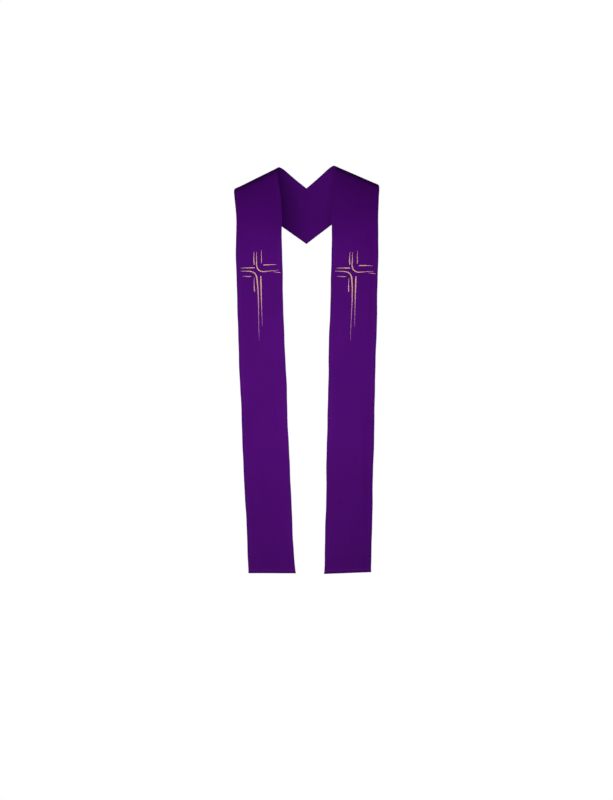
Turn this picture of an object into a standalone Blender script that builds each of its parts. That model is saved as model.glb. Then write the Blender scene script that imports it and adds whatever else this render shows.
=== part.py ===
"""A clerical stole: two long bands of cloth, seamed together at the centre back and worn over the shoulders.

The front faces -Y, +Z is up, and X = 0 is the wearer's centre plane. The origin lies in that plane, level with
the tops of the two inner edges, where they pass the neck. All sizes are in metres, and angles are in degrees.

Each band is one straight strip. The shoulder under it is a cone: a side profile beside the neck, joined by
straight lines to one point far out past the shoulder. A cone unrolls to a flat sheet without stretching, so the
strip is laid out flat on the unrolled sheet and the two are rolled up together. All of this is worked out for a
band on the +X side, and the band on the -X side is its reflection with its own hang.
"""

import math
from collections import namedtuple

import bpy
import numpy as np

# The cloth as it is cut
BAND_WIDTH = 0.144
CLOTH_THICKNESS = 0.002
SEAM_GAP = 0.0003

# The shoulder that a band lies over
NECK_OUT = 0.0845  # from the centre plane to the top of an inner edge
SHOULDER_SLOPE = 25.2  # of the shoulder line, below level
CONE_OUT = 1.00  # from the centre plane to the cone's point
CONE_FORWARD = 0.030  # from the shoulder line forward to the cone's point
SHOULDER_TILT = 1.7  # how far the stole sits lower on the -X side

# The side profile beside the neck, as arcs that start level at the shoulder line and end plumb
Arc = namedtuple("Arc", "name run turn")
FRONT_PROFILE = (
    Arc("over the shoulder", 0.058, 66.0),
    Arc("down to the chest", 0.120, 10.0),
    Arc("over the chest", 0.140, 14.0),
    Arc("hanging", 1.600, 0.0),
)
BACK_PROFILE = (
    Arc("over the shoulder", 0.056, 60.0),
    Arc("over the shoulder blade", 0.150, 30.0),
    Arc("hanging", 0.500, 0.0),
)
PROFILE_STEP = 0.001

# Each band: front is the length from the top of the inner edge to the hem, and hem_rise is how much shorter
# the outer edge is, or longer where it is negative
Band = namedtuple("Band", "name side front hem_rise")
BANDS = (
    Band("band_left", -1, 1.289, 0.001),
    Band("band_right", 1, 1.294, -0.002),
)

# How the bands hang, by the distance down from the top of the inner edge. Lean is towards the centre, and turn
# is about the band's own middle line, with the outer edge going back.
Hang = namedtuple("Hang", "place down lean_left lean_right turn_left turn_right")
HANGS = (
    Hang("shoulder blade", -0.15, 0.0, 0.0, 0.0, 0.0),
    Hang("behind the shoulder", -0.04, 4.0, 4.0, 0.0, 0.0),
    Hang("shoulder", 0.04, 9.0, 8.5, 0.0, 0.0),
    Hang("collarbone", 0.11, 9.5, 8.0, 0.0, 0.0),
    Hang("chest", 0.26, 0.6, 0.6, 5.0, 2.0),
    Hang("ribs", 0.40, 1.3, 1.7, 7.0, -2.0),
    Hang("waist", 0.62, 2.3, 1.3, 5.0, -2.0),
    Hang("hem", 1.30, 3.0, 1.2, 6.0, 4.0),
)

# The largest folds, as soft swells out of the cloth or, where the height is negative, into it
Swell = namedtuple("Swell", "band place down down_reach across across_reach height")
SWELLS = (
    Swell("band_left", "inner edge at the collarbone", 0.130, 0.080, 0.000, 0.060, -0.0035),
    Swell("band_left", "inner edge at the chest", 0.300, 0.120, 0.010, 0.070, 0.0030),
    Swell("band_left", "waist", 0.680, 0.300, 0.070, 0.200, -0.0060),
    Swell("band_left", "knee", 1.080, 0.230, 0.035, 0.090, 0.0050),
    Swell("band_right", "inner edge at the collarbone", 0.150, 0.070, 0.000, 0.055, -0.0030),
    Swell("band_right", "outer edge at the chest", 0.340, 0.150, 0.144, 0.070, -0.0035),
    Swell("band_right", "waist", 0.730, 0.310, 0.070, 0.200, -0.0050),
    Swell("band_right", "knee", 1.110, 0.210, 0.095, 0.090, 0.0045),
)

# The mesh: stretches of evenly spaced rows, each ending at a share of the way from the seam to the hem
Rows = namedtuple("Rows", "place ends count")
ROWS = (
    Rows("back", 0.05, 4),
    Rows("shoulder", 0.28, 34),
    Rows("chest", 0.44, 10),
    Rows("hanging", 1.00, 18),
)
COLUMNS = 10

# Where the flat strip is searched for the line that meets the centre plane, down from the inner top
SEAM_SEARCH = (-0.42, 0.0)
SEARCH_POINTS = 900
LEAN_POINTS = 1800

PURPLE = (0.075, 0.004, 0.160, 1.0)
CLOTH_ROUGHNESS = 0.72


def ease(share):
    """0 to 1 with level ends: 3t^2 - 2t^3."""
    t = np.clip(share, 0.0, 1.0)
    return t * t * (3.0 - 2.0 * t)


def dome(share):
    """1 at the middle, 0 beyond one reach on either side, as a raised cosine."""
    return 0.5 * (1.0 + np.cos(np.pi * np.clip(share, -1.0, 1.0)))


def along_rows(down, column):
    """The column of HANGS at each distance down, eased from one row to the next."""
    places = np.array([row.down for row in HANGS])
    values = np.array([getattr(row, column) for row in HANGS])
    first = np.clip(np.searchsorted(places, down, side="right") - 1, 0, len(places) - 2)
    share = (down - places[first]) / (places[first + 1] - places[first])
    return values[first] + (values[first + 1] - values[first]) * ease(share)


def half_profile(arcs, way):
    """y and z of one side of the profile: the direction turns evenly along each arc, and is summed up."""
    ends = np.cumsum([0.0] + [arc.run for arc in arcs])
    turns = np.cumsum([0.0] + [arc.turn for arc in arcs])
    run = np.linspace(0.0, ends[-1], round(ends[-1] / PROFILE_STEP) + 1)
    middle = 0.5 * (run[1:] + run[:-1])
    angle = np.radians(np.interp(middle, ends, turns))
    step = run[1] - run[0]
    y = np.append(0.0, np.cumsum(way * np.cos(angle) * step))
    z = np.append(0.0, np.cumsum(-np.sin(angle) * step))
    return y, z


class Shoulder:
    """The cone under a band, with the map from its unrolled sheet to space.

    On the flat sheet the cone's point is the origin, the shoulder line runs along +X, and the front is +Y.
    A point's distance from the origin is its distance from the cone's point, and its angle picks the straight
    line of the cone that it lies on.
    """

    def __init__(self):
        front_y, front_z = half_profile(FRONT_PROFILE, -1.0)
        back_y, back_z = half_profile(BACK_PROFILE, 1.0)
        y = np.concatenate([back_y[:0:-1], front_y])
        z = np.concatenate([back_z[:0:-1], front_z])
        drop = (CONE_OUT - NECK_OUT) * math.tan(math.radians(SHOULDER_SLOPE))
        self.point = np.array([CONE_OUT, -CONE_FORWARD, -drop])
        lines = np.stack([np.full_like(y, NECK_OUT), y, z], axis=1) - self.point
        reach = np.linalg.norm(lines, axis=1)
        self.direction = lines / reach[:, None]
        chord = np.linalg.norm(np.diff(self.direction, axis=0), axis=1)
        angle = np.append(0.0, np.cumsum(2.0 * np.arcsin(0.5 * chord)))
        top = len(back_y) - 1
        self.angle = angle - angle[top]
        self.neck = np.array([reach[top], 0.0])
        profile = reach[:, None] * np.stack([np.cos(self.angle), np.sin(self.angle)], axis=1)
        plumb = profile[-1] - profile[-2]
        self.down = plumb / np.linalg.norm(plumb)
        self.out = np.array([-self.down[1], self.down[0]])

    def roll_up(self, flat):
        """Points in space for points of the unrolled sheet."""
        reach = np.hypot(flat[..., 0], flat[..., 1])
        angle = np.arctan2(flat[..., 1], flat[..., 0])
        direction = np.stack([np.interp(angle, self.angle, axis) for axis in self.direction.T], axis=-1)
        direction /= np.linalg.norm(direction, axis=-1, keepdims=True)
        return self.point + reach[..., None] * direction


def side_name(band):
    """left or right, as the columns of HANGS have it."""
    return band.name.split("_")[-1]


def lay_flat(shoulder, band, down, across):
    """The strip on the unrolled sheet: plumb in front, and moved towards the centre as its lean adds up."""
    run = np.linspace(SEAM_SEARCH[0], band.front, LEAN_POINTS)
    slope = np.tan(np.radians(along_rows(run, "lean_" + side_name(band))))
    steps = 0.5 * (slope[1:] + slope[:-1]) * (run[1] - run[0])
    drift = np.append(0.0, np.cumsum(steps))
    drift -= np.interp(0.0, run, drift)
    outward = across - np.interp(down, run, drift)
    return shoulder.neck + down[..., None] * shoulder.down + outward[..., None] * shoulder.out


def seam_line(shoulder, band, across):
    """How far down, for each place across, the strip meets the seam's side of the centre plane."""
    run = np.linspace(SEAM_SEARCH[0], SEAM_SEARCH[1], SEARCH_POINTS)
    down, out = np.meshgrid(run, across, indexing="ij")
    x = shoulder.roll_up(lay_flat(shoulder, band, down, out))[..., 0]
    return np.array([np.interp(0.5 * SEAM_GAP, column, run) for column in x.T])


def grid_normals(points):
    """Unit normals on the outside of the cloth, from the differences along and across the grid."""
    across = np.gradient(points, axis=1)
    along = np.gradient(points, axis=0)
    normal = np.cross(along, across)
    return normal / np.linalg.norm(normal, axis=-1, keepdims=True)


def hang_band(shoulder, band):
    """The middle surface of a band as a grid of points, rows from the seam to the hem and columns outwards."""
    share = [np.linspace(0.0, ROWS[0].ends, ROWS[0].count + 1)]
    for before, rows in zip(ROWS, ROWS[1:]):
        share.append(np.linspace(before.ends, rows.ends, rows.count + 1)[1:])
    share = np.concatenate(share)[:, None]
    across = np.linspace(0.0, BAND_WIDTH, COLUMNS + 1)
    seam = seam_line(shoulder, band, across)
    hem = band.front - band.hem_rise * across / BAND_WIDTH
    down = seam + (hem - seam) * share
    across = np.broadcast_to(across, down.shape)
    points = shoulder.roll_up(lay_flat(shoulder, band, down, across))

    normal = grid_normals(points)
    sideways = np.gradient(points, axis=1)
    sideways /= np.linalg.norm(sideways, axis=-1, keepdims=True)
    turn = np.radians(along_rows(down, "turn_" + side_name(band)))
    off_middle = across - 0.5 * BAND_WIDTH
    height = -np.sin(turn) * off_middle
    for swell in SWELLS:
        if swell.band == band.name:
            over = dome((down - swell.down) / swell.down_reach)
            height += swell.height * over * dome((across - swell.across) / swell.across_reach)
    points = points + height[..., None] * normal
    points += ((np.cos(turn) - 1.0) * off_middle)[..., None] * sideways

    points[..., 0] *= band.side
    points[..., 2] += points[..., 0] * math.tan(math.radians(SHOULDER_TILT))
    return points


def split_quads(quads):
    """Two triangles for each quad, all cut the same way, so that both faces of the cloth stay parallel."""
    return np.concatenate([quads[:, [0, 1, 2]], quads[:, [0, 2, 3]]])


def cloth_wall(points, side):
    """Vertices and faces of a closed wall, half its thickness on each side of the middle surface.

    The first row is trimmed flat at the seam's side of the centre plane.
    """
    rows, columns = points.shape[:2]
    lift = 0.5 * CLOTH_THICKNESS * grid_normals(points)
    sheets = np.stack([points + lift, points - lift])
    sheets[:, 0, :, 0] = 0.5 * side * SEAM_GAP
    vertices = sheets.reshape(-1, 3)
    index = np.arange(rows * columns).reshape(rows, columns)
    corners = (index[:-1, :-1], index[1:, :-1], index[1:, 1:], index[:-1, 1:])
    outside = split_quads(np.stack(corners, axis=-1).reshape(-1, 4))
    inside = outside[:, ::-1] + rows * columns
    rim = np.concatenate([index[:-1, 0], index[-1, :-1], index[:0:-1, -1], index[0, :0:-1]])
    following = np.roll(rim, -1)
    edge = split_quads(np.stack([following, rim, rim + rows * columns, following + rows * columns], axis=1))
    return vertices, np.concatenate([outside, inside, edge])


def cloth_material(name):
    """Purple woven cloth."""
    material = bpy.data.materials.new(name + "_cloth")
    material.use_nodes = True
    shader = material.node_tree.nodes["Principled BSDF"]
    shader.inputs["Base Color"].default_value = PURPLE
    shader.inputs["Roughness"].default_value = CLOTH_ROUGHNESS
    shader.inputs["Metallic"].default_value = 0.0
    material.diffuse_color = PURPLE
    return material


def add_band(shoulder, band):
    """One band as an object of its own, from the centre back seam to the hem."""
    vertices, faces = cloth_wall(hang_band(shoulder, band), band.side)
    mesh = bpy.data.meshes.new(band.name)
    mesh.from_pydata(vertices.tolist(), [], faces.tolist())
    mesh.shade_smooth()
    mesh.set_sharp_from_angle(angle=math.radians(40.0))
    mesh.materials.append(cloth_material(band.name))
    piece = bpy.data.objects.new(band.name, mesh)
    bpy.context.scene.collection.objects.link(piece)


for old in list(bpy.data.objects):
    bpy.data.objects.remove(old)
one_shoulder = Shoulder()
for one_band in BANDS:
    add_band(one_shoulder, one_band)
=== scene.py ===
import math
from collections import namedtuple

import bpy
import numpy as np
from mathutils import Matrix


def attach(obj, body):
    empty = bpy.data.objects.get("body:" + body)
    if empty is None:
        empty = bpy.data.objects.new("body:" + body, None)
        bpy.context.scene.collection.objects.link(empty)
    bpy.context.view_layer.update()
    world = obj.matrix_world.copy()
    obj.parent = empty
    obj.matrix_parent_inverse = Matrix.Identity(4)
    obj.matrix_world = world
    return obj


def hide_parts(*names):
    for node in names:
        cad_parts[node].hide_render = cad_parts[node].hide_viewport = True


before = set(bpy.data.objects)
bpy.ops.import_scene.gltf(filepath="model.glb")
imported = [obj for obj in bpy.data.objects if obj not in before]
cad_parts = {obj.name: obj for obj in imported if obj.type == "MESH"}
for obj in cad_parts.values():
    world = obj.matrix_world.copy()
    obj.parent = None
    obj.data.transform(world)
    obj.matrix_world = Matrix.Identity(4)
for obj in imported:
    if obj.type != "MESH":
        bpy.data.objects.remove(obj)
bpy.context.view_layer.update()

# ----------------------------------------------------------------------------------------------------------
# The two bands of the stole. Each is one straight strip of smooth purple cloth over a firm interlining, with
# its long edges turned under and pressed, a turned-up hem, and a mitred end seamed to the other at the nape.
# They are worn over the shoulders, front towards -Y, and the left one is the one on the -X side.

BAND_WIDTH = 0.144
CLOTH_THICKNESS = 0.002
SEAM_OVERLAP = 0.0002  # how far each sewn end runs past the centre plane, into the other

# The shoulder that a band lies over is a cone, from a side profile beside the neck to a point far past it.
NECK_OUT = 0.0845
SHOULDER_SLOPE = 25.2
CONE_OUT = 1.00
CONE_FORWARD = 0.030
SHOULDER_TILT = 1.7
Arc = namedtuple("Arc", "name run turn")
FRONT_PROFILE = (
    Arc("over the shoulder", 0.058, 66.0),
    Arc("down to the chest", 0.120, 10.0),
    Arc("over the chest", 0.140, 14.0),
    Arc("hanging", 1.600, 0.0),
)
BACK_PROFILE = (
    Arc("over the shoulder", 0.056, 60.0),
    Arc("over the shoulder blade", 0.150, 30.0),
    Arc("hanging", 0.500, 0.0),
)
PROFILE_STEP = 0.0002

Band = namedtuple("Band", "name node side front hem_rise")
BANDS = (
    Band("left", "band_left", -1, 1.289, 0.001),
    Band("right", "band_right", 1, 1.294, -0.002),
)

# Places on a band are its distance down from the top of the inner edge, negative behind the shoulder, and
# its distance across from the inner edge. Lean is towards the centre. Turn takes the outer edge back.
Hang = namedtuple("Hang", "place down lean_left lean_right turn_left turn_right")
HANGS = (
    Hang("shoulder blade", -0.15, 0.0, 0.0, 0.0, 0.0),
    Hang("behind the shoulder", -0.04, 4.0, 4.0, 0.0, 0.0),
    Hang("shoulder", 0.04, 9.0, 8.5, 0.0, 0.0),
    Hang("collarbone", 0.11, 9.5, 8.0, 0.0, 0.0),
    Hang("chest", 0.26, 0.6, 0.6, 5.0, 2.0),
    Hang("ribs", 0.40, 1.3, 1.7, 7.0, -2.0),
    Hang("waist", 0.62, 2.3, 1.3, 5.0, -2.0),
    Hang("hem", 1.30, 3.0, 1.2, 6.0, 4.0),
)

# The folds, the largest first: soft ridges, or troughs where the height is negative, that fade out over
# their reaches. Slant is how far across a fold runs for each metre down.
Fold = namedtuple("Fold", "band place down down_reach across across_reach height slant")
FOLDS = (
    Fold("left", "inner edge at the collarbone", 0.130, 0.080, 0.000, 0.060, -0.0035, 0.0),
    Fold("left", "inner edge at the chest", 0.300, 0.120, 0.010, 0.070, 0.0030, 0.0),
    Fold("left", "waist", 0.680, 0.300, 0.070, 0.200, -0.0060, 0.0),
    Fold("left", "knee", 1.080, 0.230, 0.035, 0.090, 0.0050, 0.0),
    Fold("right", "inner edge at the collarbone", 0.150, 0.070, 0.000, 0.055, -0.0030, 0.0),
    Fold("right", "outer edge at the chest", 0.340, 0.150, 0.144, 0.070, -0.0035, 0.0),
    Fold("right", "waist", 0.730, 0.310, 0.070, 0.200, -0.0050, 0.0),
    Fold("right", "knee", 1.110, 0.210, 0.095, 0.090, 0.0045, 0.0),
    Fold("left", "drag from the shoulder", 0.170, 0.130, 0.100, 0.024, -0.0011, -0.16),
    Fold("left", "beside the cross", 0.430, 0.170, 0.022, 0.016, 0.0008, 0.03),
    Fold("left", "ribs, outside", 0.560, 0.200, 0.112, 0.018, -0.0009, 0.05),
    Fold("left", "thigh, inside", 0.820, 0.240, 0.030, 0.015, 0.0010, -0.02),
    Fold("left", "thigh, outside", 0.960, 0.180, 0.096, 0.020, -0.0010, 0.06),
    Fold("left", "above the hem, outside", 1.235, 0.075, 0.128, 0.022, 0.0012, 0.0),
    Fold("left", "above the hem, inside", 1.225, 0.090, 0.016, 0.020, 0.0010, 0.0),
    Fold("right", "drag from the shoulder", 0.160, 0.110, 0.086, 0.026, -0.0010, -0.22),
    Fold("right", "beside the cross", 0.470, 0.190, 0.118, 0.018, 0.0008, -0.04),
    Fold("right", "ribs, inside", 0.600, 0.160, 0.028, 0.020, -0.0008, 0.05),
    Fold("right", "thigh, inside", 0.790, 0.220, 0.022, 0.016, 0.0010, 0.02),
    Fold("right", "thigh, outside", 0.930, 0.260, 0.108, 0.017, 0.0010, 0.04),
    Fold("right", "knee, inside", 1.120, 0.120, 0.050, 0.026, -0.0009, -0.05),
    Fold("right", "above the hem, outside", 1.220, 0.080, 0.124, 0.022, 0.0011, 0.0),
    Fold("left", "behind the shoulder", -0.075, 0.060, 0.055, 0.030, -0.0009, 0.35),
    Fold("left", "beside the nape seam", -0.150, 0.050, 0.060, 0.022, 0.0008, -0.6),
    Fold("right", "behind the shoulder", -0.085, 0.055, 0.095, 0.028, 0.0009, 0.30),
    Fold("right", "beside the nape seam", -0.140, 0.060, 0.035, 0.024, -0.0007, -0.5),
)

# The long edges ripple a little, more on the bands' free lengths than over the shoulder.
Ripple = namedtuple("Ripple", "length left_phase right_phase height sway")
RIPPLES = (
    Ripple(0.310, 0.0, 1.9, 0.0009, 0.0005),
    Ripple(0.187, 2.3, 0.6, 0.0005, 0.0004),
    Ripple(0.083, 4.1, 3.0, 0.0002, 0.0002),
)
RIPPLE_REACH = 0.050
RIPPLE_FROM = (0.10, 0.35)  # the distances down between which the ripples grow to their full size
RIPPLE_LEAST = 0.3  # the share of its size that a ripple keeps over the shoulder
SWAY_SKEW = 0.4

# The turned edges show as a low step, and the foot of the hem rolls back and flares at its corners.
EDGE_TURN = 0.0105
EDGE_STEP = 0.0030
EDGE_HEIGHT = 0.00035
HEM_PRESS = 0.0100
HEM_ALLOWANCE = 0.0280
HEM_HEIGHT = 0.00030
HEM_STEPS = (0.6, 0.4)  # how its height is shared by the pressed foot and the whole turning
HEM_ROLL = 0.0011
HEM_FLARE = 0.0012
FLARE_REACH = 0.012

# The mesh: stretches of even spacing, each to a distance in from a long edge, or up from the hem.
Stretch = namedtuple("Stretch", "place ends count")
ACROSS = (
    Stretch("turned edge", 0.0085, 5),
    Stretch("edge of the turning", 0.0145, 6),
    Stretch("to the middle", 0.5 * BAND_WIDTH, 22),
)
UP = (
    Stretch("below the press line", 0.013, 9),
    Stretch("hem", 0.024, 5),
    Stretch("top of the hem", 0.032, 6),
)
ROWS_ABOVE_HEM = 556
ROUND_STEPS = 4  # rows in the quarter round of a rim
NUDGE = 0.0004  # how far apart the points are that give a surface's direction
LEAN_STEP = 0.0008
SEAM_SEARCH = (-0.42, 0.0)  # the distances down between which the seam is looked for
SEAM_STEP = 0.0004
MITRE_COSINE = 0.81  # of the angle between the mitred end and a square one


def ease(share):
    """0 to 1 with level ends: 3t^2 - 2t^3."""
    t = np.clip(share, 0.0, 1.0)
    return t * t * (3.0 - 2.0 * t)


def dome(share):
    """1 at the middle, 0 beyond one reach on either side, as a raised cosine."""
    return 0.5 * (1.0 + np.cos(np.pi * np.clip(share, -1.0, 1.0)))


def along_rows(down, column):
    """The column of HANGS at each distance down, eased from one row to the next."""
    places = np.array([row.down for row in HANGS])
    values = np.array([getattr(row, column) for row in HANGS])
    first = np.clip(np.searchsorted(places, down, side="right") - 1, 0, len(places) - 2)
    share = (down - places[first]) / (places[first + 1] - places[first])
    return values[first] + (values[first + 1] - values[first]) * ease(share)


def half_profile(arcs, way):
    """y and z of one side of the profile: the direction turns evenly along each arc, and is summed up."""
    ends = np.cumsum([0.0] + [arc.run for arc in arcs])
    turns = np.cumsum([0.0] + [arc.turn for arc in arcs])
    run = np.linspace(0.0, ends[-1], round(ends[-1] / PROFILE_STEP) + 1)
    angle = np.radians(np.interp(0.5 * (run[1:] + run[:-1]), ends, turns))
    step = run[1] - run[0]
    y = np.append(0.0, np.cumsum(way * np.cos(angle) * step))
    z = np.append(0.0, np.cumsum(-np.sin(angle) * step))
    return y, z


class Shoulder:
    """The cone under a band. On its unrolled sheet the cone's point is the origin and the front is +Y.

    A point's distance from the origin is its distance from the cone's point, and its angle picks the
    straight line of the cone that it lies on.
    """

    def __init__(self):
        front_y, front_z = half_profile(FRONT_PROFILE, -1.0)
        back_y, back_z = half_profile(BACK_PROFILE, 1.0)
        y = np.concatenate([back_y[:0:-1], front_y])
        z = np.concatenate([back_z[:0:-1], front_z])
        drop = (CONE_OUT - NECK_OUT) * math.tan(math.radians(SHOULDER_SLOPE))
        self.point = np.array([CONE_OUT, -CONE_FORWARD, -drop])
        lines = np.stack([np.full_like(y, NECK_OUT), y, z], axis=1) - self.point
        reach = np.linalg.norm(lines, axis=1)
        self.direction = lines / reach[:, None]
        chord = np.linalg.norm(np.diff(self.direction, axis=0), axis=1)
        angle = np.append(0.0, np.cumsum(2.0 * np.arcsin(0.5 * chord)))
        top = len(back_y) - 1
        self.angle = angle - angle[top]
        self.neck = np.array([reach[top], 0.0])
        profile = reach[:, None] * np.stack([np.cos(self.angle), np.sin(self.angle)], axis=1)
        plumb = profile[-1] - profile[-2]
        self.down = plumb / np.linalg.norm(plumb)
        self.out = np.array([-self.down[1], self.down[0]])

    def roll_up(self, flat):
        """Points in space for points of the unrolled sheet."""
        reach = np.hypot(flat[..., 0], flat[..., 1])
        angle = np.arctan2(flat[..., 1], flat[..., 0])
        direction = np.stack([np.interp(angle, self.angle, axis) for axis in self.direction.T], axis=-1)
        direction /= np.linalg.norm(direction, axis=-1, keepdims=True)
        return self.point + reach[..., None] * direction


shoulder = Shoulder()
lean_run = np.arange(SEAM_SEARCH[0], max(band.front for band in BANDS) + 2 * LEAN_STEP, LEAN_STEP)
lean_drift = {}
for band in BANDS:
    slope = np.tan(np.radians(along_rows(lean_run, "lean_" + band.name)))
    drift = np.append(0.0, np.cumsum(0.5 * (slope[1:] + slope[:-1]) * LEAN_STEP))
    lean_drift[band.name] = drift - np.interp(0.0, lean_run, drift)


def rolled(band, down, across):
    """The plain strip on the +X side: laid on the unrolled cone, moved in by its lean, and rolled up."""
    outward = across - np.interp(down, lean_run, lean_drift[band.name])
    flat = shoulder.neck + down[..., None] * shoulder.down + outward[..., None] * shoulder.out
    return shoulder.roll_up(flat)


def facing(surface, band, down, across):
    """Unit vectors out of a surface and across it, from points NUDGE to each side."""
    along = surface(band, down + NUDGE, across) - surface(band, down - NUDGE, across)
    sideways = surface(band, down, across + NUDGE) - surface(band, down, across - NUDGE)
    normal = np.cross(along, sideways)
    normal /= np.linalg.norm(normal, axis=-1, keepdims=True)
    return normal, sideways / np.linalg.norm(sideways, axis=-1, keepdims=True)


def hem_distance(band, down, across):
    """How far above the hem a place on the band is."""
    return band.front - band.hem_rise * across / BAND_WIDTH - down


def ripple(band, down, column):
    """The sum of the ripples' sines at each distance down, growing where the band hangs free."""
    total = np.zeros_like(down)
    for row in RIPPLES:
        phase = getattr(row, band.name + "_phase")
        total += getattr(row, column) * np.sin(2.0 * np.pi * down / row.length + phase)
    grown = ease((down - RIPPLE_FROM[0]) / (RIPPLE_FROM[1] - RIPPLE_FROM[0]))
    return total * (RIPPLE_LEAST + (1.0 - RIPPLE_LEAST) * grown)


def draped(band, down, across):
    """The middle of the cloth on the +X side: the rolled strip, raised by its turn, folds and ripples.

    The turn is a straight rise across, minus the sine of the angle times the distance from the middle line.
    """
    off_middle = across - 0.5 * BAND_WIDTH
    end = np.sign(off_middle) * ease(np.abs(off_middle) / (0.5 * BAND_WIDTH))
    above_hem = np.clip(hem_distance(band, down, across), 0.0, None)
    flare = HEM_FLARE * np.exp(-above_hem / FLARE_REACH) * np.abs(end) ** 3
    moved = across + end * (flare + ripple(band, down + SWAY_SKEW * across, "sway"))
    normal, sideways = facing(rolled, band, down, moved)
    turn = np.radians(along_rows(down, "turn_" + band.name))
    height = -np.sin(turn) * off_middle
    for fold in FOLDS:
        if fold.band == band.name:
            line = fold.across + fold.slant * (down - fold.down)
            along = dome((down - fold.down) / fold.down_reach)
            height += fold.height * along * dome((across - line) / fold.across_reach)
    to_edge = 0.5 * BAND_WIDTH - np.abs(off_middle)
    height += np.sign(off_middle) * ripple(band, down, "height") * dome(to_edge / RIPPLE_REACH)
    height -= HEM_ROLL * np.clip(1.0 - above_hem / HEM_PRESS, 0.0, 1.0) ** 2
    points = rolled(band, down, moved) + height[..., None] * normal
    return points + ((np.cos(turn) - 1.0) * off_middle)[..., None] * sideways


def face_height(band, down, across):
    """Half the thickness of the cloth: more over the turned edges and the hem, with an eased step."""
    to_edge = 0.5 * BAND_WIDTH - np.abs(across - 0.5 * BAND_WIDTH)
    above_hem = hem_distance(band, down, across)
    turned = 1.0 - ease((to_edge - EDGE_TURN) / EDGE_STEP)
    pressed = 1.0 - ease((above_hem - HEM_PRESS) / EDGE_STEP)
    doubled = 1.0 - ease((above_hem - HEM_ALLOWANCE) / EDGE_STEP)
    rise = EDGE_HEIGHT * turned + HEM_HEIGHT * (HEM_STEPS[0] * pressed + HEM_STEPS[1] * doubled)
    return 0.5 * CLOTH_THICKNESS - EDGE_HEIGHT + rise


def placed(band, down, across, lift):
    """Points in space, lift out of the middle of the cloth, on the band's own side and with its tilt."""
    normal, _ = facing(draped, band, down, across)
    points = draped(band, down, across) + lift[..., None] * normal
    points[..., 0] = np.maximum(points[..., 0], -SEAM_OVERLAP) * band.side
    points[..., 2] += points[..., 0] * math.tan(math.radians(SHOULDER_TILT))
    return points


def rounded(distance, radius):
    """A quarter circle: 0 on an edge and 1 from radius inwards."""
    inward = np.clip(1.0 - distance / radius, 0.0, 1.0)
    return np.sqrt(np.clip(1.0 - inward * inward, 0.0, 1.0))


def spaced(stretches, radius):
    """Distances in from an edge: rounding steps of equal angle, and then each stretch's even ones."""
    angle = np.linspace(0.0, 0.5 * np.pi, ROUND_STEPS + 1)
    places = [radius * (1.0 - np.cos(angle))]
    for stretch in stretches:
        places.append(np.linspace(places[-1][-1], stretch.ends, stretch.count + 1)[1:])
    return np.concatenate(places)


def seam_down(band, across):
    """How far down, for each place across, the strip ends at the seam, in the centre plane."""
    run = np.arange(SEAM_SEARCH[0], SEAM_SEARCH[1], SEAM_STEP)
    down, out = np.meshgrid(run, across, indexing="ij")
    x = rolled(band, down, out)[..., 0]
    return np.array([np.interp(-SEAM_OVERLAP, column, run) for column in x.T])


def quads(index):
    """The grid's faces, wound so that down and then across turn about the outside."""
    corners = (index[:-1, :-1], index[1:, :-1], index[1:, 1:], index[:-1, 1:])
    return np.stack(corners, axis=-1).reshape(-1, 4)


def add_piece(name, vertices, face_lists, outward, attributes, material):
    """A smooth mesh object at the origin, with its faces turned if outward is negative."""
    mesh = bpy.data.meshes.new(name)
    turned = [faces if outward > 0 else faces[:, ::-1] for faces in face_lists]
    mesh.from_pydata(vertices.tolist(), [], [face for faces in turned for face in faces.tolist()])
    for attribute, values in attributes.items():
        layer = mesh.attributes.new(attribute, "FLOAT_VECTOR", "POINT")
        layer.data.foreach_set("vector", values.astype(np.float32).ravel())
    mesh.shade_smooth()
    mesh.materials.append(material)
    piece = bpy.data.objects.new(name, mesh)
    bpy.context.scene.collection.objects.link(piece)
    return piece


class Number:
    """A socket that carries a number. Arithmetic with numbers and other sockets adds Math nodes."""

    def __init__(self, finish, socket):
        self.finish = finish
        self.socket = socket

    def math(self, operation, *terms):
        values = dict(zip(("Value", "Value_001"), terms))
        node = self.finish.add("ShaderNodeMath", {"operation": operation}, values)
        return Number(self.finish, node.outputs["Value"])

    def __add__(self, other):
        return self.math("ADD", self, other)

    def __sub__(self, other):
        return self.math("SUBTRACT", self, other)

    def __rsub__(self, other):
        return self.math("SUBTRACT", other, self)

    def __mul__(self, other):
        return self.math("MULTIPLY", self, other)

    __radd__ = __add__
    __rmul__ = __mul__

    def size(self):
        return self.math("ABSOLUTE", self)

    def root(self):
        return self.math("SQRT", self)

    def wave(self):
        """0 to 1 and back once in each unit: half of 1 minus the cosine."""
        return 0.5 - 0.5 * self.math("COSINE", self * (2.0 * math.pi))

    def step(self, low, high):
        """0 below low and 1 above high, eased between."""
        values = {"Value": self, "From Min": low, "From Max": high}
        node = self.finish.add("ShaderNodeMapRange", {"interpolation_type": "SMOOTHSTEP"}, values)
        return Number(self.finish, node.outputs["Result"])


NOISE_ROUGHNESS = 0.55


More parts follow.
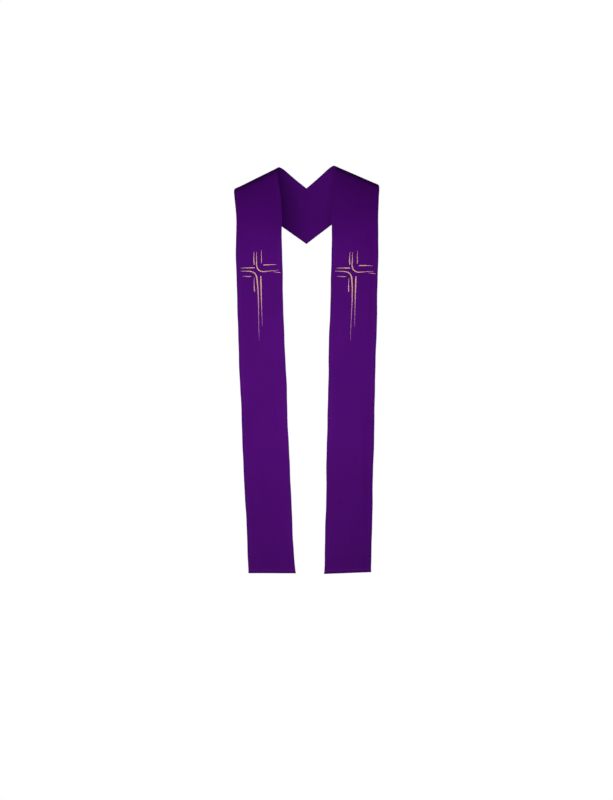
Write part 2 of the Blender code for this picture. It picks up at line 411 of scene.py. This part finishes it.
class Finish:
    """A shader tree under construction, for a material or the studio's surroundings."""

    def __init__(self, owner):
        owner.use_nodes = True
        self.owner = owner
        self.nodes = owner.node_tree.nodes
        self.links = owner.node_tree.links

    def add(self, kind, settings, values):
        """A node of a kind: its settings first, then the values or links of its sockets."""
        node = self.nodes.new(kind)
        for name, setting in settings.items():
            setattr(node, name, setting)
        self.feed(node, values)
        return node

    def feed(self, node, values):
        """Sets or links a node's sockets, which go by their identifiers."""
        sockets = {socket.identifier: socket for socket in node.inputs}
        for name, value in values.items():
            if isinstance(value, Number):
                value = value.socket
            if isinstance(value, bpy.types.NodeSocket):
                self.links.new(value, sockets[name])
            else:
                sockets[name].default_value = value

    def attribute(self, name):
        """The three numbers of a mesh attribute."""
        node = self.add("ShaderNodeAttribute", {"attribute_name": name}, {})
        parts = self.add("ShaderNodeSeparateXYZ", {}, {"Vector": node.outputs["Vector"]})
        return [Number(self, socket) for socket in parts.outputs]

    def vector(self, x, y, z):
        return self.add("ShaderNodeCombineXYZ", {}, {"X": x, "Y": y, "Z": z}).outputs["Vector"]

    def noise(self, place, detail):
        """Cloudy noise from 0 to 1, one cloud in each unit of place."""
        values = {"Vector": place, "Scale": 1.0, "Detail": detail, "Roughness": NOISE_ROUGHNESS}
        return Number(self, self.add("ShaderNodeTexNoise", {}, values).outputs["Fac"])

    def mix(self, factor, first, second):
        """A colour: first where factor is 0, second where it is 1."""
        values = {"Factor_Float": factor, "A_Color": first, "B_Color": second}
        node = self.add("ShaderNodeMix", {"data_type": "RGBA"}, values)
        return next(socket for socket in node.outputs if socket.identifier == "Result_Color")

    def bump(self, height, distance, strength):
        values = {"Height": height, "Distance": distance, "Strength": strength}
        return self.add("ShaderNodeBump", {}, values).outputs["Normal"]


PURPLE = (0.084, 0.0022, 0.180, 1.0)
PURPLE_DEEP = (0.056, 0.0015, 0.124, 1.0)
# The lighter purple of the painted sheen on the long edges and the pressed lines.
PURPLE_PAINTED_SHEEN = (0.106, 0.0060, 0.206, 1.0)
SHEEN_TINT = (0.42, 0.16, 0.62, 1.0)
THREAD_PITCH = 0.00056
SLUB_ACROSS = 0.0009
SLUB_DOWN = 0.045
CLOUD_SIZE = 0.110
CLOUD_STRETCH = 0.6
CLOUD_SLICE = 4.0
# Painted sheen: the long edges, the edge of each turning and the hem's press line are painted lighter.
PATCHY = (0.35, 0.7)  # the clouds between which a pressed line fades in
LINE_REACH = 0.0035
EDGE_SHEEN_REACH = 0.0016
# Painted shade darkens the foot of the hem, fading out from this height to the press line.
FOOT_FROM = 0.002

# How much each kind of yarn or mark counts in the relief, the shade, the lighter tint of painted sheen and
# the roughness
Share = namedtuple("Share", "relief shade light rough")
# The yarns' shade is painted shade: darker in the hollows between the yarns, lighter on their crowns.
YARNS = Share(0.55, 0.25, 0.0, 0.0)
TWILL = Share(0.35, 0.0, 0.0, 0.0)
SLUBS = Share(0.8, 0.9, 0.0, 0.10)
CLOUDS = Share(0.0, 0.5, 0.0, 0.0)
# The long edges and the pressed lines: lighter as painted sheen, and smoother.
EDGE_SHEEN = Share(0.0, 0.0, 0.5, 0.10)
FOLD_LINE = Share(0.0, 0.0, 0.28, 0.06)
HEM_LINE = Share(0.0, 0.0, 0.5, 0.0)
# The foot of the hem, darker as painted shade.
FOOT = Share(0.0, 0.45, 0.0, 0.0)
WARP_RISE, WEFT_RISE = 0.6, 0.4
CLOTH_ROUGHNESS = 0.74
WEAVE_DEPTH = 0.00016


def purple_cloth():
    """Fine twill: yarns over two and under two, slubs along the warp, soft clouds, painted sheen and painted
    shade.
    """
    cloth = Finish(bpy.data.materials.new("purple_twill"))
    across, down, above_hem = cloth.attribute("strip")
    warp = across * (1.0 / THREAD_PITCH)
    weft = down * (1.0 / THREAD_PITCH)
    twill = ((warp + weft) * 0.25).wave()
    yarns = warp.wave() * WARP_RISE + weft.wave() * WEFT_RISE
    slubs = cloth.noise(cloth.vector(across * (1.0 / SLUB_ACROSS), down * (1.0 / SLUB_DOWN), 0.0), 3.0)
    cloud_place = cloth.vector(across * (1.0 / CLOUD_SIZE), down * (CLOUD_STRETCH / CLOUD_SIZE), CLOUD_SLICE)
    clouds = cloth.noise(cloud_place, 2.0)
    relief = yarns * YARNS.relief + twill * TWILL.relief + slubs * SLUBS.relief

    to_edge = 0.5 * BAND_WIDTH - (across - 0.5 * BAND_WIDTH).size()
    # Painted sheen along the long edges, which are also made smoother.
    edge_sheen = 1.0 - to_edge.step(0.0, EDGE_SHEEN_REACH)
    fold_line = to_edge.step(EDGE_TURN - LINE_REACH, EDGE_TURN)
    fold_line = fold_line * (1.0 - to_edge.step(EDGE_TURN, EDGE_TURN + LINE_REACH))
    hem_line = above_hem.step(HEM_PRESS - LINE_REACH, HEM_PRESS)
    hem_line = hem_line * (1.0 - above_hem.step(HEM_PRESS, HEM_PRESS + LINE_REACH))
    foot = 1.0 - above_hem.step(FOOT_FROM, HEM_PRESS)
    patchy = clouds.step(*PATCHY)

    # The yarns add painted shade in the hollows between them; the slubs and clouds are the cloth's own
    # uneven tone.
    shade = (slubs - 0.5) * SLUBS.shade + (clouds - 0.5) * CLOUDS.shade + (yarns - 0.5) * YARNS.shade + 0.5
    colour = cloth.mix(shade.step(0.0, 1.0), PURPLE_DEEP, PURPLE)
    # Painted sheen: the long edges, the edge of each turning and the hem's press line are painted lighter.
    light = edge_sheen * EDGE_SHEEN.light + fold_line * patchy * FOLD_LINE.light + hem_line * HEM_LINE.light
    colour = cloth.mix(light, colour, PURPLE_PAINTED_SHEEN)
    # Painted shade: the foot of the hem is painted darker, where it rolls back.
    colour = cloth.mix(foot * FOOT.shade, colour, PURPLE_DEEP)
    roughness = CLOTH_ROUGHNESS - edge_sheen * EDGE_SHEEN.rough - fold_line * FOLD_LINE.rough
    roughness = roughness + (slubs - 0.5) * SLUBS.rough
    cloth.feed(cloth.nodes["Principled BSDF"], {
        "Base Color": colour,
        "Roughness": roughness,
        "Normal": cloth.bump(relief, WEAVE_DEPTH, 0.7),
        "Specular IOR Level": 0.04,
        "Sheen Weight": 0.03,
        "Sheen Roughness": 0.45,
        "Sheen Tint": SHEEN_TINT,
    })
    return cloth.owner


def band_mesh(band):
    """Vertices, faces and strip places of a closed sheet: two faces that share a rounded rim.

    Down goes from the seam to the hem. Each face stands off the middle by face_height, times a quarter
    circle at every edge, so that the two meet on the rim.
    """
    radius = 0.5 * CLOTH_THICKNESS
    inward = spaced(ACROSS, radius)
    across = np.concatenate([inward, BAND_WIDTH - inward[-2::-1]])
    seam = seam_down(band, across)
    hem = band.front - band.hem_rise * across / BAND_WIDTH
    longest = (hem - seam).max()
    up = spaced(UP, radius)
    from_seam = radius * (1.0 - np.cos(np.linspace(0.0, 0.5 * np.pi, ROUND_STEPS + 1))) / MITRE_COSINE
    middle = np.linspace(from_seam[-1], longest - up[-1], ROWS_ABOVE_HEM + 1)[1:-1]
    share = np.concatenate([from_seam, middle, longest - up[::-1]])[:, None] / longest
    down = seam + (hem - seam) * share
    across = np.broadcast_to(across, down.shape)
    to_edge = 0.5 * BAND_WIDTH - np.abs(across - 0.5 * BAND_WIDTH)
    above_hem = hem_distance(band, down, across)
    rim = rounded(to_edge, radius) * rounded(above_hem, radius)
    rim = rim * rounded((down - seam) * MITRE_COSINE, radius)
    lift = face_height(band, down, across) * rim
    outer = placed(band, down, across, lift)
    inner = placed(band, down, across, -lift)
    outer[0, :, 0] = -band.side * SEAM_OVERLAP

    rows, columns = down.shape
    top = np.arange(rows * columns).reshape(rows, columns)
    under = top.copy()
    under[1:-1, 1:-1] = rows * columns + np.arange((rows - 2) * (columns - 2)).reshape(rows - 2, columns - 2)
    vertices = np.concatenate([outer.reshape(-1, 3), inner[1:-1, 1:-1].reshape(-1, 3)])
    faces = [quads(top), quads(under)[:, ::-1]]
    strip = np.stack([across, down, above_hem], axis=-1)
    strip = np.concatenate([strip.reshape(-1, 3), strip[1:-1, 1:-1].reshape(-1, 3)])
    return vertices, faces, strip


cloth_finish = purple_cloth()
cloths = {}
for band in BANDS:
    vertices, faces, strip = band_mesh(band)
    piece = add_piece("cloth_" + band.name, vertices, faces, band.side, {"strip": strip}, cloth_finish)
    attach(piece, "root")
    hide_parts(band.node)
    cloths[band.name] = piece

# ----------------------------------------------------------------------------------------------------------
# The crosses, one embroidered on each band at the chest. Each is a loose cross of tapered strokes in gold
# thread, worked in satin stitch: every thread goes straight over its stroke and down through the cloth.

THREAD_RADIUS = 0.00021
STITCH_PITCH = 0.00040
STITCH_SLANT = 0.16
STITCH_CROWN = 0.00055
STITCH_SINK = 0.00045
STITCH_STRAY = 0.00012
STITCH_SEED = 7
LIFT_STRAY = 0.00002
FULL_CROWN_WIDTH = 4.0  # a stroke this wide, in millimetres, has the whole crown
LEAST_CROWN = 0.35
THREAD_SIDES = 5
THREAD_STATIONS = 7

# The stitching draws the cloth in under and beside it.
PULL_DEPTH = 0.00030
PULL_REACH = 0.0065
PULL_MARGIN = 0.02
PULL_SKIP = 12

# Where the crossing lies on each band, across and down.
CROSSINGS = {"left": (0.0765, 0.3655), "right": (0.0672, 0.3755)}

# The strokes, in millimetres right and up from the crossing as the wearer is faced. A line goes straight to
# its corner and on to its end, and bends over that distance on each side of the corner. Bow is how far its
# second leg curves to its left. The widths are those at the start, where it is fullest, and at the end, and
# fullest is a share of its length.
Stroke = namedtuple("Stroke", "place start corner end bend bow first full last fullest")
STROKES = (
    Stroke("sweep, top to right arm", (-3, 57), (-4, -4), (63, -3), 24, -1.5, 0.5, 3.4, 0.3, 0.43),
    Stroke("sweep, left arm to foot", (-55, 0), (-6, -3), (-2, -214), 22, 4.0, 0.5, 3.6, 0.2, 0.24),
    Stroke("top, left", (-11, 57), (-12, 36), (-11, 18), 14, 0.0, 0.4, 3.1, 2.4, 0.76),
    Stroke("top, right", (12, 61), (12, 40), (12, 21), 14, 0.0, 0.3, 1.9, 1.4, 0.78),
    Stroke("right arm, upper", (59, 14), (38, 15), (17, 15), 14, 0.0, 0.4, 2.8, 2.1, 0.74),
    Stroke("right arm, tip", (47, -7), (58, -9), (69, -11), 8, 0.0, 0.3, 1.6, 1.1, 0.74),
    Stroke("left arm, upper", (-53, 9), (-32, 9), (-10, 8), 14, 0.0, 0.4, 2.9, 2.3, 0.78),
    Stroke("left arm, lower", (-48, -16), (-35, -17), (-21, -18), 8, 0.0, 0.3, 1.6, 1.1, 0.72),
    Stroke("foot, left", (-12, -23), (-13, -43), (-12, -64), 14, 0.0, 0.4, 2.9, 2.2, 0.80),
    Stroke("foot, right", (9, -18), (9, -80), (9, -170), 50, 0.0, 2.7, 3.8, 0.2, 0.12),
)
MM = 0.001
LINE_POINTS = 400
BOW_SCALE = 27.0 / 4.0


def stroke_line(stroke):
    """Points along the middle of a stroke, and the distance along at each of them.

    The corner is a quadratic curve from bend before it to bend after it, weighted (1-t)^2, 2t(1-t), t^2. The
    second leg bows by 27/4 t (1-t)^2 of its bow, which is fullest a third of the way along.
    """
    start, corner, end = (np.array(point) * MM for point in (stroke.start, stroke.corner, stroke.end))
    before = (start - corner) / np.linalg.norm(start - corner)
    after = (end - corner) / np.linalg.norm(end - corner)
    enter = corner + before * stroke.bend * MM
    leave = corner + after * stroke.bend * MM
    t = np.linspace(0.0, 1.0, LINE_POINTS)[:, None]
    curve = (1.0 - t) ** 2 * enter + 2.0 * t * (1.0 - t) * corner + t ** 2 * leave
    points = np.concatenate([start + (enter - start) * t[:-1], curve, leave + (end - leave) * t[1:]])
    share = np.clip((points - corner) @ after / np.linalg.norm(end - corner), 0.0, 1.0)
    bow = stroke.bow * MM * BOW_SCALE * share * (1.0 - share) ** 2
    points += bow[:, None] * np.array([-after[1], after[0]])
    run = np.append(0.0, np.cumsum(np.linalg.norm(np.diff(points, axis=0), axis=1)))
    return points, run


def stroke_stitches(stroke):
    """The middle, direction and half width of a stroke at each of its stitches."""
    points, run = stroke_line(stroke)
    places = np.arange(0.5 * STITCH_PITCH, run[-1], STITCH_PITCH)
    middle = np.stack([np.interp(places, run, axis) for axis in points.T], axis=1)
    direction = np.gradient(middle, axis=0)
    direction /= np.linalg.norm(direction, axis=1, keepdims=True)
    share = places / run[-1]
    width = np.interp(share, (0.0, stroke.fullest, 1.0), (stroke.first, stroke.full, stroke.last))
    return middle, direction, 0.5 * width * MM


def on_band(band, drawn):
    """Down and across on the band for points drawn right and up from the crossing."""
    across, down = CROSSINGS[band.name]
    return down - drawn[..., 1], across + band.side * drawn[..., 0]


def cross_mesh(band, stray):
    """All threads of a cross as closed tubes: vertices, faces, and each vertex's tone, reach and place over.

    A thread's middle runs from -1 to 1 over the stroke's width, and stands off the cloth by its crown times
    1 - v^4, less its sink times v^8. Its rings are circles about it that close to a point at both ends.
    """
    lines = [stroke_stitches(stroke) for stroke in STROKES]
    middle, direction = (np.concatenate([line[part] for line in lines]) for part in (0, 1))
    half = np.concatenate([line[2] for line in lines])
    sideways = np.stack([-direction[:, 1], direction[:, 0]], axis=1) + STITCH_SLANT * direction
    count = len(half)
    v = np.sin(np.linspace(-0.5 * np.pi, 0.5 * np.pi, THREAD_STATIONS))
    short = stray.uniform(-1.0, 1.0, (count, 2)) @ np.stack([v < 0, v > 0]) * STITCH_STRAY
    ends = half[:, None] * v + short
    drawn = middle[:, None] + sideways[:, None] * ends[..., None]
    down, across = on_band(band, drawn)
    wide = np.clip(half / (0.5 * FULL_CROWN_WIDTH * MM), LEAST_CROWN, 1.0)[:, None]
    rise = STITCH_CROWN * wide * (1.0 - v ** 4) - STITCH_SINK * v ** 8
    rise = rise + stray.normal(0.0, LIFT_STRAY, (count, 1))
    lift = face_height(band, down, across) + rise - PULL_DEPTH
    line = placed(band, down, across, lift)
    out = placed(band, down, across, lift + NUDGE) - line
    along = np.gradient(line, axis=1)
    beside = np.cross(along, out)
    beside /= np.linalg.norm(beside, axis=-1, keepdims=True)
    out = np.cross(beside, along)
    out /= np.linalg.norm(out, axis=-1, keepdims=True)

    turn = 2.0 * np.pi * np.arange(THREAD_SIDES) / THREAD_SIDES
    circle = np.cos(turn)[:, None] * out[:, 1:-1, None] + np.sin(turn)[:, None] * beside[:, 1:-1, None]
    rings = line[:, 1:-1, None] + THREAD_RADIUS * circle
    vertices = np.concatenate([line[:, :1], rings.reshape(count, -1, 3), line[:, -1:]], axis=1)

    inner = THREAD_STATIONS - 2
    index = 1 + np.arange(inner * THREAD_SIDES).reshape(inner, THREAD_SIDES)
    index = np.concatenate([index, index[:, :1]], axis=1)
    walls = quads(index)
    first = np.stack([np.zeros(THREAD_SIDES, int), index[0, 1:], index[0, :-1]], axis=1)
    last_point = inner * THREAD_SIDES + 1
    last = np.stack([np.full(THREAD_SIDES, last_point), index[-1, :-1], index[-1, 1:]], axis=1)
    shift = (last_point + 1) * np.arange(count)[:, None, None]
    faces = [(part + shift).reshape(-1, part.shape[1]) for part in (walls, first, last)]

    tone = np.repeat(stray.uniform(0.0, 1.0, (count, 1)), last_point + 1, axis=1)
    reach = np.repeat(np.linalg.norm(middle, axis=1)[:, None], last_point + 1, axis=1)
    over = np.concatenate([[v[0]], np.repeat(v[1:-1], THREAD_SIDES), [v[-1]]])
    over = np.broadcast_to(over, tone.shape)
    thread = np.stack([tone, reach, over], axis=-1).reshape(-1, 3)
    return vertices.reshape(-1, 3), faces, thread


GOLD = (0.92, 0.55, 0.35, 1.0)
COPPER = (0.72, 0.29, 0.40, 1.0)
# The darker thread colour: for each thread's own random tone, and for the painted shade at its ends.
THREAD_DARK_AND_SHADE = (0.24, 0.080, 0.075, 1.0)
COPPER_FROM = (0.02, 0.15)  # the distances from the crossing between which gold turns to copper
TONE_SHADE = 0.22
EDGE_SHADE = 0.55
EDGE_FROM = (0.55, 1.0)
TWISTS = 9.0
TWIST_SHIFT = 3.0
TWIST_DEPTH = 0.00006
THREAD_ROUGHNESS = 0.36
ROUGHNESS_SPREAD = 0.12


def gold_thread():
    """Glossy twisted thread, rose gold at the crossing, redder further out, no two alike, with painted shade
    at its ends.
    """
    thread = Finish(bpy.data.materials.new("gold_thread"))
    tone, reach, over = thread.attribute("thread")
    colour = thread.mix(reach.step(*COPPER_FROM), GOLD, COPPER)
    colour = thread.mix(tone * TONE_SHADE, colour, THREAD_DARK_AND_SHADE)
    # Painted shade at each thread's ends, where it dives into the cloth.
    edge = (over * over).step(*EDGE_FROM)
    colour = thread.mix(edge * EDGE_SHADE, colour, THREAD_DARK_AND_SHADE)
    twist = (over * TWISTS + tone * TWIST_SHIFT).wave()
    thread.feed(thread.nodes["Principled BSDF"], {
        "Base Color": colour,
        "Roughness": THREAD_ROUGHNESS + tone * ROUGHNESS_SPREAD,
        "Normal": thread.bump(twist, TWIST_DEPTH, 0.6),
        "Specular IOR Level": 0.5,
    })
    return thread.owner


def draw_in(band, cloth):
    """Sinks both faces of the cloth by PULL_DEPTH along the strokes, fading out at PULL_REACH from them."""
    mesh = cloth.data
    points = np.empty(3 * len(mesh.vertices), np.float32)
    strip = np.empty_like(points)
    mesh.vertices.foreach_get("co", points)
    mesh.attributes["strip"].data.foreach_get("vector", strip)
    points, strip = (values.reshape(-1, 3) for values in (points, strip))
    lines = np.concatenate([stroke_line(stroke)[0][::PULL_SKIP] for stroke in STROKES])
    line_down, line_across = on_band(band, lines)
    low, high = line_down.min() - PULL_MARGIN, line_down.max() + PULL_MARGIN
    near = np.flatnonzero((strip[:, 1] > low) & (strip[:, 1] < high))
    across, down = strip[near, 0].astype(float), strip[near, 1].astype(float)
    gap = np.hypot(down[:, None] - line_down, across[:, None] - line_across).min(axis=1)
    pull = -PULL_DEPTH * dome(gap / PULL_REACH)
    points[near] += placed(band, down, across, pull) - placed(band, down, across, np.zeros_like(pull))
    mesh.vertices.foreach_set("co", points.ravel())
    mesh.update()


thread_finish = gold_thread()
for band in BANDS:
    draw_in(band, cloths[band.name])
    vertices, faces, thread = cross_mesh(band, np.random.default_rng(STITCH_SEED))
    cross = add_piece("cross_" + band.name, vertices, faces, band.side, {"thread": thread}, thread_finish)
    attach(cross, "root")

# ----------------------------------------------------------------------------------------------------------
# The studio: a pale floor at the height the wearer would stand on, a white surround, and two large soft
# lights level with the chest, the stronger one in front. Little light comes from above.

FLOOR_BELOW = 1.53
FLOOR_REACH = 1.3
FLOOR_RINGS = 24
FLOOR_SECTORS = 96
FLOOR_FADE = (0.5, 1.25)
FLOOR_GREY = (0.86, 0.86, 0.86, 1.0)
FLOOR_WHITE = (0.90, 0.90, 0.90, 1.0)
FLOOR_GLOW = 0.85
SURROUND_FADE = (-0.1, 0.6)  # the heights of a direction between which the surround dims
SURROUND_LOW = (0.10, 0.10, 0.105, 1.0)
SURROUND_HIGH = (0.05, 0.05, 0.055, 1.0)
CAMERA_AWAY = 3.5
CAMERA_BELOW = 0.7305
CAMERA_LENS = 50.33
Lamp = namedtuple("Lamp", "name place aim size power")
LAMPS = (
    Lamp("front", (-0.15, -1.32, -0.62), (0.0, 0.0, -0.62), 0.7, 16.6),
    Lamp("back", (0.25, 1.40, -0.50), (0.0, 0.0, -0.55), 0.7, 16.0),
)


def floor_disc():
    """A level disc: rings of points, each ring a circle about the middle, closed by one point there."""
    radius = FLOOR_REACH * np.linspace(0.0, 1.0, FLOOR_RINGS + 1)[1:, None]
    angle = 2.0 * np.pi * np.arange(FLOOR_SECTORS) / FLOOR_SECTORS
    x, y = radius * np.cos(angle), radius * np.sin(angle)
    ring = np.stack([x, y, np.full_like(x, -FLOOR_BELOW)], axis=-1)
    vertices = np.concatenate([ring.reshape(-1, 3), [[0.0, 0.0, -FLOOR_BELOW]]])
    index = np.arange(FLOOR_RINGS * FLOOR_SECTORS).reshape(FLOOR_RINGS, FLOOR_SECTORS)
    index = np.concatenate([index, index[:, :1]], axis=1)
    hub = np.stack([index[0, :-1], index[0, 1:], np.full(FLOOR_SECTORS, len(vertices) - 1)], axis=1)
    return vertices, [quads(index), hub]


def floor_finish():
    """Matt white paint, faintly clouded, that fades out into the white surround."""
    paint = Finish(bpy.data.materials.new("floor_paint"))
    place = paint.add("ShaderNodeTexCoord", {}, {}).outputs["Object"]
    parts = paint.add("ShaderNodeSeparateXYZ", {}, {"Vector": place}).outputs
    x, y = (Number(paint, parts[name]) for name in ("X", "Y"))
    away = (x * x + y * y).root()
    clouds = paint.noise(place, 3.0)
    colour = paint.mix(clouds, FLOOR_GREY, FLOOR_WHITE)
    paint.feed(paint.nodes["Principled BSDF"], {
        "Base Color": colour,
        "Roughness": 0.9,
        "Specular IOR Level": 0.1,
        "Alpha": 1.0 - away.step(*FLOOR_FADE),
        "Emission Color": (1.0, 1.0, 1.0, 1.0),
        "Emission Strength": FLOOR_GLOW,
    })
    return paint.owner


vertices, faces = floor_disc()
floor = add_piece("floor", vertices, faces, 1, {}, floor_finish())
floor.visible_diffuse = False

surround = Finish(bpy.data.worlds.new("surround"))
bpy.context.scene.world = surround.owner
seen = surround.add("ShaderNodeLightPath", {}, {}).outputs["Is Camera Ray"]
direction = surround.add("ShaderNodeTexCoord", {}, {}).outputs["Generated"]
height = Number(surround, surround.add("ShaderNodeSeparateXYZ", {}, {"Vector": direction}).outputs["Z"])
glow = surround.mix(height.step(*SURROUND_FADE), SURROUND_LOW, SURROUND_HIGH)
surround.feed(surround.nodes["Background"], {
    "Color": surround.mix(Number(surround, seen), glow, (1.0, 1.0, 1.0, 1.0)),
    "Strength": 1.0,
})

for lamp in LAMPS:
    light = bpy.data.lights.new(lamp.name + "_softbox", "AREA")
    light.shape = "SQUARE"
    light.size = lamp.size
    light.energy = lamp.power
    softbox = bpy.data.objects.new(light.name, light)
    softbox.visible_camera = False
    aim = np.array(lamp.aim) - np.array(lamp.place)
    flat_reach = math.hypot(aim[0], aim[1])
    softbox.location = lamp.place
    softbox.rotation_euler = (math.atan2(flat_reach, -aim[2]), 0.0, math.atan2(-aim[0], aim[1]))
    bpy.context.scene.collection.objects.link(softbox)

lens = bpy.data.cameras.new("front_view")
lens.lens = CAMERA_LENS
camera = bpy.data.objects.new("front_view", lens)
camera.location = (0.0, -CAMERA_AWAY, -CAMERA_BELOW)
camera.rotation_euler = (math.radians(90.0), 0.0, 0.0)
bpy.context.scene.collection.objects.link(camera)
bpy.context.scene.camera = camera
bpy.context.scene.view_settings.view_transform = "Standard"
